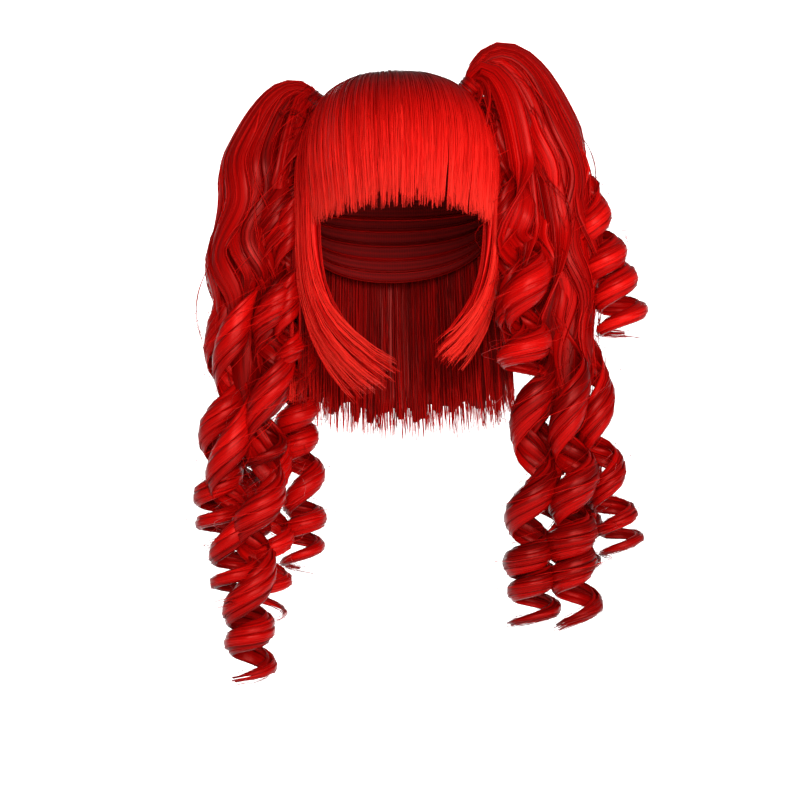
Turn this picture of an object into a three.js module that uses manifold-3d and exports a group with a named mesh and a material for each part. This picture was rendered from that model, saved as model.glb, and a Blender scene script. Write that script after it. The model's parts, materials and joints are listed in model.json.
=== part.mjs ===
// Long curly wig: a fringed bob on a stretch cap, with two clip-on ponytails of ringlets.
// Millimetres, +Z up, front towards -Y, +X to the wearer's left. Origin: inside the cap at the crown.
import * as THREE from "three";
import { ParametricGeometry } from "three/addons/geometries/ParametricGeometry.js";
import { mergeVertices } from "three/addons/utils/BufferGeometryUtils.js";
import Module from "manifold-3d";

const wasm = await Module();
wasm.setup();

// Inside of the cap
const HALF_BREADTH = 68;
const HALF_LENGTH = 90;
const DOME_HEIGHT = 88; // crown to the widest level
const DOME_FULLNESS = 0.8; // 1 is an ellipsoid, less is squarer at the shoulders
const WHORL_TILT = THREE.MathUtils.degToRad(20); // the hair's whorl sits behind the crown

// Layers outwards from the head
const CAP_WALL = 1.5;
const LAYER_GAP = 1.1;
const HAIR_DEPTH = 7.6;
const HAIR_TOP = CAP_WALL + LAYER_GAP + HAIR_DEPTH;
const REST_GAP = 0.7; // between the bob and what lies on it
const ROOM_FRONT_DROP = 64; // how far down the bob's sides keep their full width in front
const ROOM_SIDES = 48;
const ROOM_ROWS = 24;
const ROOM_OVERLAP = 0.05; // share of the back hair by which its room reaches forwards

// Cap
const CAP_SIDES = 24;
const CAP_ROWS = 16;
const CAP_DOME_SHARE = 0.75; // share of the rows that lie on the dome
const CAP_DROP_START = 0.7; // share of the way to the rim where the nape starts to drop
const CAP_FRONT_RISE = 0.2; // share of the dome left bare above the forehead
const CAP_NAPE_DROP = 58;
const CAP_NAPE_TUCK = 0.22;

// Bob panels: azimuth from the front in degrees, towards the wearer's left
const PANEL_START = 0.03; // share of the dome left open at the whorl
const LOCK_POINTS = 3; // points across one lock of a panel
const VALLEY = 0.62; // thickness between two locks, as a share of the full depth
const RIDGE_ROUNDNESS = 0.7; // 1 is a sine across a lock, less is fuller
const WHORL_FADE = 0.12; // share of the rows in which a panel thickens from the whorl
const HEM_POWER = 3; // how late a panel thins towards its hem
const TIP_SPREAD = 4; // how far the lock tips differ in length
const PANELS = [
  {
    name: "fringe", from: -63, to: 63, locks: 11, rows: 9, domeRows: 7, notch: 13,
    hang: { first: 16, middle: 7, last: 16 }, tuckX: { first: 0, last: 0 }, tuckY: 0.02, power: 1,
  },
  {
    name: "side_lock_left", from: 63.6, to: 84, locks: 2, rows: 15, domeRows: 6, notch: 14,
    hang: { first: 116, middle: 124, last: 132 },
    tuckX: { first: 0.66, last: 0.42 }, tuckY: -0.4, power: 3.5,
  },
  {
    name: "side_lock_right", from: -84, to: -63.6, locks: 2, rows: 15, domeRows: 6, notch: 14,
    hang: { first: 156, middle: 144, last: 130 },
    tuckX: { first: 0.55, last: 0.97 }, tuckY: -0.4, power: 3.5,
  },
  {
    name: "back_hair", from: 84.6, to: 275.4, locks: 10, rows: 12, domeRows: 6, notch: 18,
    hang: { first: 164, middle: 168, last: 136 },
    tuckX: { first: -0.04, last: -0.02 }, tuckY: 0.28, power: 1.6,
  },
];

// Clasps: where they stand on the bob, and an oval drum for each
const CLASP_HALF_LENGTH = 12;
const CLASP_HALF_WIDTH = 7;
const CLASP_HEIGHT = 6.5;
const CLASP_SINK = 6; // how deep it grips into the hair
const CLASP_GAP = 0.35;
const CLASP_BITE = 1; // how deep the ponytail's root sits over it
const CLASP_BEVEL = 1;
const CLASP_SEGMENTS = 7;

// Ponytails, from the clasp: lift and drop steer the sweep over the crest, end is the tip of the axis.
// Bulges are the depths below the crown at which a lock swings out to one side and then to the other.
const LOCK_SIDES = 5;
const AXIS_SAMPLES = 400;
const LOCK_STEPS = { straight: 5, perBulge: 2 };
const LOCK_ROOT = { width: 0.5, fullAt: 0.2 }; // share of the full width at the root, and where it is full
const LOCK_TIP_FROM = 0.7; // share of the length where a lock starts to narrow
const LOCK_FLATNESS = { root: 0.8, curl: 0.5, fullAt: 0.5 }; // thickness over width
const LOCK_PITCH_SHARE = 0.42; // half width as a share of the pitch of a curl, so that turns never meet
const CURL_LEAD = { wave: 2.9, turn: 1.3 }; // where a curl starts above its first bulge, in bulge gaps
const CURL_UNEVEN = { size: 0.14, beat: 2.3 };
const CURL_FLARE = 0.15; // how much tighter than its middle a curl is at the root, and looser at the tip
const CORE_SIDES = 10;
const CORE_STEPS = 11;
const CORE_SECTIONS = [
  { share: 0, half: 8 },
  { share: 0.08, half: 16 },
  { share: 0.25, half: 24 },
  { share: 0.5, half: 26 },
  { share: 0.75, half: 19 },
  { share: 1, half: 5 },
];
const PONYTAILS = [
  {
    side: "left", azimuth: 80, share: 0.42,
    core: { lift: [12, 0, 38], drop: [74, 0, 34], end: [74, -4, -262] },
    locks: [
      {
        lift: [2, -2, 42], drop: [86, -4, 26], end: [115, -8, -190],
        curl: 16, side: 1, width: 21, tip: 0.7,
        bulges: [126, 137, 147, 160, 172, 182],
      },
      {
        lift: [6, 0, 44], drop: [50, 4, 30], end: [112, 2, -354],
        curl: 14, side: 1, width: 25, tip: 0.5,
        bulges: [227, 266, 287, 309, 324, 333, 342, 350],
      },
      {
        lift: [4, -14, 38], drop: [70, -26, 26], end: [74, -18, -410],
        curl: 15, side: 1, width: 28, tip: 0.8,
        bulges: [223, 262, 290, 315, 333, 344, 355, 368, 388, 406],
      },
      {
        lift: [2, -22, 24], drop: [38, -38, 0], end: [34, -34, -220],
        curl: 16, side: 1, width: 27, tip: 0.7,
        bulges: [142, 168, 192, 206, 216],
      },
      {
        lift: [4, -10, 34], drop: [48, -24, 16], end: [41, -14, -406],
        curl: 15, side: 1, width: 27, tip: 0.75,
        bulges: [218, 255, 292, 324, 346, 357, 367, 378, 390, 403],
      },
      {
        lift: [4, 10, 42], drop: [66, 26, 26], end: [84, 18, -366],
        curl: 15, side: -1, width: 26, tip: 0.7,
        bulges: [180, 224, 262, 290, 312, 330, 345, 358],
      },
    ],
  },
  {
    side: "right", azimuth: -106, share: 0.52,
    core: { lift: [-10, 0, 18], drop: [-68, 2, 6], end: [-44, 0, -280] },
    locks: [
      {
        lift: [-14, 4, 22], drop: [-74, 8, 16], end: [-68, 4, -336],
        curl: 15, side: -1, width: 24, tip: 0.6,
        bulges: [192, 230, 265, 290, 310, 320, 329, 338],
      },
      {
        lift: [-12, -8, 22], drop: [-66, -16, 14], end: [-60, -16, -378],
        curl: 15, side: -1, width: 28, tip: 0.6,
        bulges: [210, 248, 293, 325, 353, 362, 374, 382],
      },
      {
        lift: [-8, -14, 16], drop: [-20, -30, 4], end: [-50, -18, -440],
        curl: 16, side: 1, width: 29, tip: 1.0,
        bulges: [153, 181, 208, 256, 303, 336, 361, 396, 407, 418, 434],
      },
      {
        lift: [-8, 8, 14], drop: [-22, 30, -6], end: [-3, 16, -358],
        curl: 14, side: -1, width: 22, tip: 0.7,
        bulges: [224, 265, 275, 293, 317, 348],
      },
      {
        lift: [-12, 12, 20], drop: [-66, 26, 12], end: [-48, 18, -340],
        curl: 15, side: 1, width: 26, tip: 0.7,
        bulges: [180, 224, 262, 290, 308, 322, 334],
      },
    ],
  },
];

const { clamp, lerp, smoothstep, degToRad } = THREE.MathUtils;
const FULL_TURN = 2 * Math.PI;

// A closed solid from a surface function, with the triangles dropped that shrink to a line or a point.
function solidFrom(geometry, matrix = new THREE.Matrix4()) {
  const bare = new THREE.BufferGeometry();
  bare.setAttribute("position", geometry.getAttribute("position").clone());
  bare.setIndex(geometry.getIndex());
  bare.applyMatrix4(matrix);
  const merged = mergeVertices(bare, 1e-3);
  const corners = merged.index.array;
  const kept = [];
  for (let i = 0; i < corners.length; i += 3) {
    const [a, b, c] = corners.slice(i, i + 3);
    if (a !== b && b !== c && c !== a) kept.push(a, b, c);
  }
  const build = (triangles) =>
    new wasm.Manifold(
      new wasm.Mesh({
        numProp: 3,
        vertProperties: Float32Array.from(merged.attributes.position.array),
        triVerts: Uint32Array.from(triangles),
      }),
    );
  const solid = build(kept);
  return solid.volume() > 0 ? solid : build(kept.reverse());
}

function meshFrom(solid, name, material) {
  const { numProp, numVert, vertProperties, triVerts } = solid.getMesh();
  const places = new Float32Array(numVert * 3);
  for (let i = 0; i < numVert; i++) {
    places.set(vertProperties.subarray(i * numProp, i * numProp + 3), i * 3);
  }
  const geometry = new THREE.BufferGeometry();
  geometry.setAttribute("position", new THREE.BufferAttribute(places, 3));
  geometry.setIndex(new THREE.BufferAttribute(triVerts, 1));
  geometry.computeVertexNormals();
  const mesh = new THREE.Mesh(geometry, material);
  mesh.name = name;
  return mesh;
}

// A point over the head: direction from the crown, lift above the head, drop below the widest level.
function overHead(azimuth, polar, lift, drop, tuck) {
  const reach = Math.sin(Math.min(polar, Math.PI / 2)) ** DOME_FULLNESS;
  const rise = Math.max(Math.cos(polar), 0) ** DOME_FULLNESS;
  return new THREE.Vector3(
    (HALF_BREADTH + lift) * reach * Math.sin(azimuth) * (1 - tuck.x),
    -(HALF_LENGTH + lift) * reach * Math.cos(azimuth) * (1 - tuck.y),
    lift - (DOME_HEIGHT + lift) * (1 - rise) - drop,
  );
}

// The same, along a hair that leaves the whorl at an azimuth and reaches the widest level at share 1.
function alongHair(azimuth, share, lift, drop, tuck) {
  const sinTilt = Math.sin(WHORL_TILT);
  const cosTilt = Math.cos(WHORL_TILT);
  const last = Math.atan2(cosTilt, -Math.cos(azimuth) * sinTilt);
  const angle = share * last;
  const x = Math.sin(angle) * Math.sin(azimuth);
  const y = Math.cos(angle) * sinTilt - Math.sin(angle) * Math.cos(azimuth) * cosTilt;
  const z = Math.cos(angle) * cosTilt + Math.sin(angle) * Math.cos(azimuth) * sinTilt;
  return overHead(Math.atan2(x, -y), Math.acos(clamp(z, 0, 1)), lift, drop, tuck);
}

const NO_TUCK = { x: 0, y: 0 };

// Thin cap: out over the dome to the rim, and back up the inside.
function capSolid() {
  const surface = (u, v, target) => {
    const azimuth = u * FULL_TURN;
    const way = 1 - Math.abs(2 * v - 1);
    const front = Math.max(Math.cos(azimuth), 0);
    const back = (1 - Math.cos(azimuth)) / 2;
    const drop = CAP_NAPE_DROP * back * smoothstep(way, CAP_DROP_START, 1);
    const polar = (Math.PI / 2) * Math.min(way / CAP_DOME_SHARE, 1) * (1 - CAP_FRONT_RISE * front ** 2);
    const tuck = { x: 0, y: (CAP_NAPE_TUCK * drop) / CAP_NAPE_DROP };
    const lift = way === 1 ? CAP_WALL / 2 : v < 0.5 ? CAP_WALL : 0;
    target.copy(overHead(azimuth, polar, lift, drop, tuck));
  };
  return solidFrom(new ParametricGeometry(surface, CAP_SIDES, CAP_ROWS));
}

// How far a panel hangs below the widest level, before its lock tips are cut.
function hangAt({ hang }, across) {
  const side = 2 * across - 1;
  return lerp(hang.middle, side < 0 ? hang.first : hang.last, side * side);
}

// A panel of the bob: out along its locks from the whorl, over the dome, and down to a ragged hem.
function panelSolid(panel, margin = 0) {
  const { from, to, locks, rows, domeRows, notch, tuckX, tuckY, power } = panel;
  const domeShare = domeRows / rows;
  const surface = (u, v, target) => {
    const across = 1 - Math.abs(2 * u - 1);
    const azimuth = degToRad(lerp(from, to, across));
    const lock = Math.min(Math.floor(across * locks), locks - 1);
    const ridge = Math.abs(Math.sin(Math.PI * locks * across)) ** RIDGE_ROUNDNESS;
    const spread = TIP_SPREAD * Math.sin(7 * lock + locks);
    const length = hangAt(panel, across) - notch + ridge * (notch + spread);
    const share = lerp(PANEL_START, 1, Math.min(v / domeShare, 1));
    const fall = clamp((v - domeShare) / (1 - domeShare), 0, 1);
    const pull = fall ** power;
    const border = smoothstep(across, 0, 0.5 / locks) * (1 - smoothstep(across, 1 - 0.5 / locks, 1));
    const thinning = smoothstep(v, 0, WHORL_FADE) * (1 - fall ** HEM_POWER);
    const body = lerp(VALLEY, 1, ridge) * border * thinning;
    const pad = v > 0 && v < 1 ? margin : 0;
    const outside = u > 0 && u < 0.5 ? HAIR_DEPTH * body + pad : -pad;
    const lift = CAP_WALL + LAYER_GAP + outside;
    const tuck = { x: pull * lerp(tuckX.first, tuckX.last, across), y: pull * tuckY };
    target.copy(alongHair(azimuth, share, lift, fall * length, tuck));
  };
  return solidFrom(new ParametricGeometry(surface, 2 * locks * LOCK_POINTS, rows));
}

// The room that the bob takes up, which nothing hung on it enters.
function bobRoom() {
  const back = PANELS.find((panel) => panel.name === "back_hair");
  const floor = back.hang.middle + 2 * TIP_SPREAD;
  const surface = (u, v, target) => {
    const across = (u * 360 - back.from) / (back.to - back.from);
    const behind = across > -ROOM_OVERLAP && across < 1 + ROOM_OVERLAP;
    const rim = behind ? hangAt(back, clamp(across, 0, 1)) + 2 * TIP_SPREAD : ROOM_FRONT_DROP;
    const polar = Math.PI * Math.min(v, 0.5);
    const fall = clamp((v - 0.5) / (0.5 - 1 / ROOM_ROWS), 0, 1);
    const pull = behind ? back.tuckY * fall ** back.power : 0;
    const tuck = v === 1 ? { x: 1, y: 1 } : { x: 0, y: pull };
    const drop = v === 1 ? floor : rim * fall;
    target.copy(overHead(u * FULL_TURN, polar, HAIR_TOP + REST_GAP, drop, tuck));
  };
  return solidFrom(new ParametricGeometry(surface, ROOM_SIDES, ROOM_ROWS));
}

// The swept axis of a lock, with its depth below the crown and the share of its length at a depth.
function lockAxis({ lift, drop, end }, rootZ) {
  const corners = [[0, 0, 0], lift, drop, end].map((corner) => new THREE.Vector3(...corner));
  const curve = new THREE.CubicBezierCurve3(...corners);
  const samples = Array.from({ length: AXIS_SAMPLES + 1 }, (_, i) => curve.getPointAt(i / AXIS_SAMPLES).z);
  const crest = samples.indexOf(Math.max(...samples)) / AXIS_SAMPLES;
  const depthAt = (share) => -(curve.getPointAt(Math.max(share, crest)).z + rootZ);
  const shareAt = (depth) => {
    const below = samples.findIndex((z, i) => i / AXIS_SAMPLES > crest && -(z + rootZ) >= depth);
    return below < 0 ? 1 : below / AXIS_SAMPLES;
  };
  return { curve, depthAt, shareAt };
}

// How a lock curls with depth: half turns from its first bulge, how far it has opened, and its pitch.
function curlOf({ bulges }) {
  const gap = bulges[1] - bulges[0];
  const marks = [bulges[0] - CURL_LEAD.wave * gap, bulges[0] - CURL_LEAD.turn * gap, ...bulges];
  const last = marks.length - 1;
  const at = (depth) => {
    const next = clamp(marks.findIndex((mark) => mark > depth), 1, last);
    const from = depth > marks[last] ? last : next;
    const step = marks[from] - marks[from - 1];
    const turns = from - 3 + Math.max(depth - marks[from - 1], 0) / step;
    return { turns, ripe: smoothstep(depth, marks[0], marks[2]), pitch: 2 * step };
  };
  return { at, marks };
}

// Frames along a lock: the swept axis, plus a curl that opens below the crest.
function lockPath(lock, core, axis, curl) {
  const depthways = new THREE.Vector3(0, 1, 0);
  const facing = Math.atan2(lock.drop[1] - core.drop[1], lock.drop[0] - core.drop[0]);
  const start = lock.side > 0 ? 0 : Math.PI;
  const angleAt = (turns) => start - Math.PI * turns;
  const first = curl ? angleAt(curl.at(axis.depthAt(0)).turns) : 0;
  const swing = Math.atan2(Math.sin(facing - first), Math.cos(facing - first));
  return (share) => {
    const along = axis.curve.getTangentAt(share);
    const sideways = along.clone().cross(depthways).normalize();
    const inwards = sideways.clone().cross(along);
    const radial = (turn) =>
      sideways.clone().multiplyScalar(Math.cos(turn)).addScaledVector(inwards, Math.sin(turn));
    const centre = axis.curve.getPointAt(share);
    if (!curl) return { centre, outwards: sideways };
    const { turns, ripe } = curl.at(axis.depthAt(share));
    const uneven = 1 + CURL_UNEVEN.size * Math.sin(CURL_UNEVEN.beat * turns + lock.width);
    const radius = lock.curl * ripe * uneven * lerp(1 - CURL_FLARE, 1 + CURL_FLARE, share);
    centre.addScaledVector(radial(angleAt(turns)), radius);
    return { centre, outwards: radial(angleAt(turns) + swing * (1 - ripe)) };
  };
}

// Stations along a lock: a few to where it starts to wave, then the same number for every bulge.
function stationsOf(axis, { marks }) {
  const begin = axis.shareAt(marks[0]);
  const stations = Array.from({ length: LOCK_STEPS.straight }, (_, i) => (begin * i) / LOCK_STEPS.straight);
  const steps = Math.round(LOCK_STEPS.perBulge * (marks.length - 1));
  for (let i = 0; i <= steps; i++) {
    const place = ((marks.length - 1) * i) / steps;
    const low = Math.min(Math.floor(place), marks.length - 2);
    stations.push(axis.shareAt(lerp(marks[low], marks[low + 1], place - low)));
  }
  const rising = stations.filter((share, i) => i === 0 || share > stations[i - 1]);
  return [...rising.filter((share) => share < 1), 1];
}

function lockSolid(path, stations, sides, halfWidth, halfDepth) {
  const steps = stations.length - 1;
  const nudge = 0.004;
  const surface = (u, v, target) => {
    const low = clamp(Math.floor(v * steps), 0, steps - 1);
    const share = clamp(lerp(stations[low], stations[low + 1], v * steps - low), 0, 1);
    const { centre, outwards } = path(share);
    const ahead = path(Math.min(share + nudge, 1)).centre;
    const along = ahead.sub(path(Math.max(share - nudge, 0)).centre).normalize();
    const across = along.clone().cross(outwards).normalize();
    const out = across.clone().cross(along);
    const turn = u * FULL_TURN;
    target.copy(centre);
    target.addScaledVector(across, halfWidth(share) * Math.cos(turn));
    target.addScaledVector(out, halfDepth(share) * Math.sin(turn));
  };
  return solidFrom(new ParametricGeometry(surface, sides, steps));
}

function coreHalf(share) {
  const next = Math.max(CORE_SECTIONS.findIndex((row) => row.share >= share), 1);
  const [a, b] = [CORE_SECTIONS[next - 1], CORE_SECTIONS[next]];
  return lerp(a.half, b.half, smoothstep(share, a.share, b.share));
}

// A ponytail in its own frame: a full core swept over the crest, with ringlets joined to it.
function ponytailSolid({ core, locks }, rootZ) {
  const closed = (share) => (share > 0 && share < 1 ? 1 : 0);
  const half = (share) => closed(share) * coreHalf(share);
  const coreStations = Array.from({ length: CORE_STEPS + 1 }, (_, i) => i / CORE_STEPS);
  let whole = lockSolid(lockPath(core, core, lockAxis(core, rootZ)), coreStations, CORE_SIDES, half, half);
  locks.forEach((lock) => {
    const axis = lockAxis(lock, rootZ);
    const curl = curlOf(lock);
    const rootTaper = (share) => lerp(LOCK_ROOT.width, 1, smoothstep(share, 0, LOCK_ROOT.fullAt));
    const tipTaper = (share) => lerp(1, lock.tip, smoothstep(share, LOCK_TIP_FROM, 1));
    const flatness = (share) =>
      lerp(LOCK_FLATNESS.root, LOCK_FLATNESS.curl, smoothstep(share, 0, LOCK_FLATNESS.fullAt));
    const full = (share) => (lock.width / 2) * rootTaper(share) * tipTaper(share);
    const room = (share) => LOCK_PITCH_SHARE * curl.at(axis.depthAt(share)).pitch;
    const wide = (share) => closed(share) * Math.min(full(share), room(share));
    const thin = (share) => wide(share) * flatness(share);
    const path = lockPath(lock, core, axis, curl);
    whole = whole.add(lockSolid(path, stationsOf(axis, curl), LOCK_SIDES, wide, thin));
  });
  return whole;
}

function claspSolid(clearance, matrix) {
  const outline = new THREE.Shape();
  const halfLength = CLASP_HALF_LENGTH - CLASP_BEVEL + clearance;
  const halfWidth = CLASP_HALF_WIDTH - CLASP_BEVEL + clearance;
  outline.absellipse(0, 0, halfLength, halfWidth, 0, FULL_TURN);
  const drum = new THREE.ExtrudeGeometry(outline, {
    depth: CLASP_SINK + CLASP_HEIGHT - 2 * CLASP_BEVEL + 2 * clearance,
    bevelThickness: CLASP_BEVEL,
    bevelSize: CLASP_BEVEL,
    bevelSegments: 1,
    curveSegments: CLASP_SEGMENTS,
  });
  drum.translate(0, 0, CLASP_BEVEL - clearance - CLASP_SINK);
  return solidFrom(drum, matrix);
}

// Where a clasp stands on the bob, turned so that its own +Z points straight out of the hair.
function claspPlace({ azimuth, share }) {
  const at = (turn, way) =>
    overHead(degToRad(azimuth) + turn, (share + way) * (Math.PI / 2), HAIR_TOP + REST_GAP, 0, NO_TUCK);
  const step = 0.02;
  const foot = at(0, 0);
  const round = at(step, 0).sub(at(-step, 0)).normalize();
  const down = at(0, step).sub(at(0, -step)).normalize();
  const out = down.clone().cross(round).normalize();
  const [across, up] = [round.clone().negate(), out.clone().cross(round).negate()];
  const matrix = new THREE.Matrix4().makeBasis(across, up, out);
  return { matrix: matrix.setPosition(foot), root: foot.addScaledVector(out, CLASP_HEIGHT - CLASP_BITE) };
}

const hairMaterial = () => new THREE.MeshStandardMaterial({ color: 0xb8120f, roughness: 0.4 });
const wig = new THREE.Group();
wig.name = "wig";
const capMaterial = new THREE.MeshStandardMaterial({ color: 0x4a0b0b, roughness: 0.8 });
wig.add(meshFrom(capSolid(), "cap", capMaterial));

PANELS.forEach((panel) => {
  wig.add(meshFrom(panelSolid(panel), panel.name, hairMaterial()));
});

const largestOf = (solid) => solid.decompose().sort((a, b) => b.volume() - a.volume())[0];
const room = bobRoom();
const grip = PANELS.map((panel) => panelSolid(panel, CLASP_GAP));
PONYTAILS.forEach((tail) => {
  const { matrix, root } = claspPlace(tail);
  const clasp = largestOf(wasm.Manifold.difference([claspSolid(0, matrix), ...grip]));
  const claspMaterial = new THREE.MeshStandardMaterial({ color: 0x7a0d0c, roughness: 0.5 });
  wig.add(meshFrom(clasp, "clasp_" + tail.side, claspMaterial));
  const hair = ponytailSolid(tail, root.z).translate(root.toArray());
  const hung = largestOf(hair.subtract(room).subtract(claspSolid(CLASP_GAP, matrix)));
  wig.add(meshFrom(hung, "ponytail_" + tail.side, hairMaterial()));
});

export default wig;
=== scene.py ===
# %% [markdown]
# Long curly wig
#
# A wig of glossy red fibre: a straight bob with a full fringe, and two clip-on ponytails of ringlets.
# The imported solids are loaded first, because every lock of hair below is laid over them in the same
# frame: metres, +Z up, the front towards -Y, +X towards the wearer's left, origin inside the crown.

# %% Load the frame
import json
import math

import bpy
import numpy as np
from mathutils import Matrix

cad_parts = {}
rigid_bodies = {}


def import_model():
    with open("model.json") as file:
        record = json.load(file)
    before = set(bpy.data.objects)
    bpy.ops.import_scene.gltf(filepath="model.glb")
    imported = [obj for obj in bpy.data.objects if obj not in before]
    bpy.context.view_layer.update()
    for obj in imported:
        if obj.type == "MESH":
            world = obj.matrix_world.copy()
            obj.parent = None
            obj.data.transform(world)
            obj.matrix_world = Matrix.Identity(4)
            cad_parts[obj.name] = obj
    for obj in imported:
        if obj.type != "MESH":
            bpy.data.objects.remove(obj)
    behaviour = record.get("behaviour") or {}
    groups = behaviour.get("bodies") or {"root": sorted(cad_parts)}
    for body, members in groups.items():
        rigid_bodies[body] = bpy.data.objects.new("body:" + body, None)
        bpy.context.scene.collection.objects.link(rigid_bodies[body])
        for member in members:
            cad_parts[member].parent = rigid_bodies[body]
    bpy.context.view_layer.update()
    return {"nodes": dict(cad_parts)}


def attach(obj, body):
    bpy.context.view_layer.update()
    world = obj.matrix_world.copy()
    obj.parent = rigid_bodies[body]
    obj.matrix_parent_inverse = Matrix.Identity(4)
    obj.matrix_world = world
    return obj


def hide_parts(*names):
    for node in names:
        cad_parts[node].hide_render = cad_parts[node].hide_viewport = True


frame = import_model()
MM = 0.001
dice = np.random.default_rng(7)
print("nodes:", ", ".join(sorted(frame["nodes"])))

# %% [markdown]
# Hair over a head
#
# Every hair of the bob leaves the whorl, a point a little behind the crown, follows the dome of the
# head and then hangs. Two small functions say where that is: one for a point over the dome, one for a
# point along a hair. They take whole arrays, so a panel of hair is laid out in one call.

# %% Shape of the head under the hair
HALF_BREADTH, HALF_LENGTH, DOME_HEIGHT = 68 * MM, 90 * MM, 88 * MM
DOME_FULLNESS = 0.8
WHORL_TILT = math.radians(20)
CAP_WALL, LAYER_GAP, HAIR_DEPTH = 1.5 * MM, 1.1 * MM, 7.6 * MM
HAIR_FOOT = CAP_WALL + LAYER_GAP
HAIR_TOP = HAIR_FOOT + HAIR_DEPTH


def blend(a, b, share):
    return a + (b - a) * share


def ease(x, start, stop):
    """Smooth step from 0 at start to 1 at stop."""
    t = np.clip((x - start) / (stop - start), 0, 1)
    return t * t * (3 - 2 * t)


def over_head(azimuth, polar, lift, drop=0.0, tuck_x=0.0, tuck_y=0.0):
    """Point over the dome, lifted off it, hung down by drop and tucked in towards the middle."""
    reach = np.sin(np.minimum(polar, np.pi / 2)) ** DOME_FULLNESS
    rise = np.maximum(np.cos(polar), 0) ** DOME_FULLNESS
    x = (HALF_BREADTH + lift) * reach * np.sin(azimuth) * (1 - tuck_x)
    y = -(HALF_LENGTH + lift) * reach * np.cos(azimuth) * (1 - tuck_y)
    z = lift - (DOME_HEIGHT + lift) * (1 - rise) - drop
    return np.stack(np.broadcast_arrays(x, y, z), -1)


def along_hair(azimuth, share, lift, drop=0.0, tuck_x=0.0, tuck_y=0.0):
    """Point on a hair that leaves the whorl: share is 0 there and 1 at the foot of the dome."""
    sin_tilt, cos_tilt = math.sin(WHORL_TILT), math.cos(WHORL_TILT)
    angle = share * np.arctan2(cos_tilt, -np.cos(azimuth) * sin_tilt)
    x = np.sin(angle) * np.sin(azimuth)
    y = np.cos(angle) * sin_tilt - np.sin(angle) * np.cos(azimuth) * cos_tilt
    z = np.cos(angle) * cos_tilt + np.sin(angle) * np.cos(azimuth) * sin_tilt
    return over_head(np.arctan2(x, -y), np.arccos(np.clip(z, 0, 1)), lift, drop, tuck_x, tuck_y)


print("whorl at", along_hair(0.0, 0.0, HAIR_TOP).round(4))

# %% [markdown]
# Helpers for materials
#
# A material is a small network of nodes. One function adds a node, sets it up and links it, one turns
# an sRGB hex colour into the linear numbers that Blender mixes, and one starts a material from the
# values that are the same all over its surface.

# %% Nodes, colours and a new material
def node(tree, kind, links=(), **settings):
    """Add a node. Each input gets a socket, the first output of a node, or a plain value."""
    added = tree.nodes.new(kind)
    for name, value in settings.items():
        setattr(added, name, value)
    for socket, value in dict(links).items():
        if isinstance(value, bpy.types.Node):
            value = value.outputs[0]
        if isinstance(value, bpy.types.NodeSocket):
            tree.links.new(value, added.inputs[socket])
        else:
            added.inputs[socket].default_value = value
    return added


def colour(hex_value):
    parts = [int(hex_value[i:i + 2], 16) / 255 for i in (1, 3, 5)]
    return [p / 12.92 if p <= 0.04045 else ((p + 0.055) / 1.055) ** 2.4 for p in parts] + [1]


def new_material(name, **surface):
    material = bpy.data.materials.new(name)
    material.use_nodes = True
    material.node_tree.nodes.clear()
    shader = node(material.node_tree, "ShaderNodeBsdfPrincipled", surface)
    node(material.node_tree, "ShaderNodeOutputMaterial", {"Surface": shader})
    return material, shader


print("linear value of mid grey:", round(colour("#808080")[0], 3))

# %% [markdown]
# Modacrylic fibre
#
# Wig fibre is extruded modacrylic: a smooth plastic thread, dyed through, with a broad gloss. Light
# that has passed through the dyed thread comes back red, so its gloss is tinted. What the eye reads is
# bundles of threads: fine streaks along the lock, some darker, some catching the light. The streaks are
# drawn in the lock's own UV map, whose two directions are real lengths across and along the hair, and
# every lock and loose strand carries its own tint. An image could hold the streaks, but would not
# follow locks of every length.

# %% Red fibre
# Width, length and weight of the fine streaks and of the broad bands. A single thread, at under a tenth
# of a millimetre, is too fine to show, so a fine streak is as wide as ten of them.
STREAKS = ((0.8 * MM, 60 * MM, 0.7), (4 * MM, 110 * MM, 0.5))
RELIEF, RELIEF_STRENGTH = 0.4 * MM, 0.5
DARKEST, LIGHTEST = 0.6, 1.6
BODY_STOP, LIGHT_STOP = 0.45, 0.8


def fibre(name, shadow, body, light, tip):
    # Drawn from a spinneret, stretched and heat-set, so the thread is smooth but never mirror-like.
    material, shader = new_material(name, **{
        "Roughness": 0.33, "IOR": 1.5, "Specular IOR Level": 0.28, "Specular Tint": colour("#ff7068")})
    tree = material.node_tree
    lay = node(tree, "ShaderNodeUVMap", uv_map="fibre")
    # The tint is partly each lock's own tone and partly painted shade and light: lower over the crown, on the
    # inside, in the bodies under the strands and on the ponytails, higher at the ends of the hair.
    total = node(tree, "ShaderNodeAttribute", attribute_name="tint").outputs["Fac"]
    for width, length, weight in STREAKS:
        scaled = node(tree, "ShaderNodeVectorMath", {0: lay, 1: (1 / width, 1 / length, 1)},
                      operation="MULTIPLY")
        streak = node(tree, "ShaderNodeTexNoise", {"Vector": scaled, "Scale": 1.0, "Detail": 2.0})
        total = node(tree, "ShaderNodeMath", {0: streak, 1: weight, 2: total}, operation="MULTIPLY_ADD")
    relief = node(tree, "ShaderNodeBump",
                  {"Height": total, "Strength": RELIEF_STRENGTH, "Distance": RELIEF})
    tree.links.new(relief.outputs["Normal"], shader.inputs["Normal"])
    share = node(tree, "ShaderNodeMapRange", {"Value": total, "From Min": DARKEST, "From Max": LIGHTEST})
    shade = node(tree, "ShaderNodeValToRGB", {"Fac": share})
    stops = shade.color_ramp.elements
    stops[0].color, stops[1].color = colour(shadow), colour(tip)
    stops.new(BODY_STOP).color = colour(body)
    stops.new(LIGHT_STOP).color = colour(light)
    tree.links.new(shade.outputs["Color"], shader.inputs["Base Color"])
    return material


# Low tints reach the darkest red, which also serves as painted shade; the tip red, reached only by the
# highest tints at the ends of the hair, is painted light through the thin ends.
hair_red = fibre("modacrylic_fibre_red", "#4c0000", "#a20403", "#cc100b", "#e02a20")
print("material:", hair_red.name)

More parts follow.
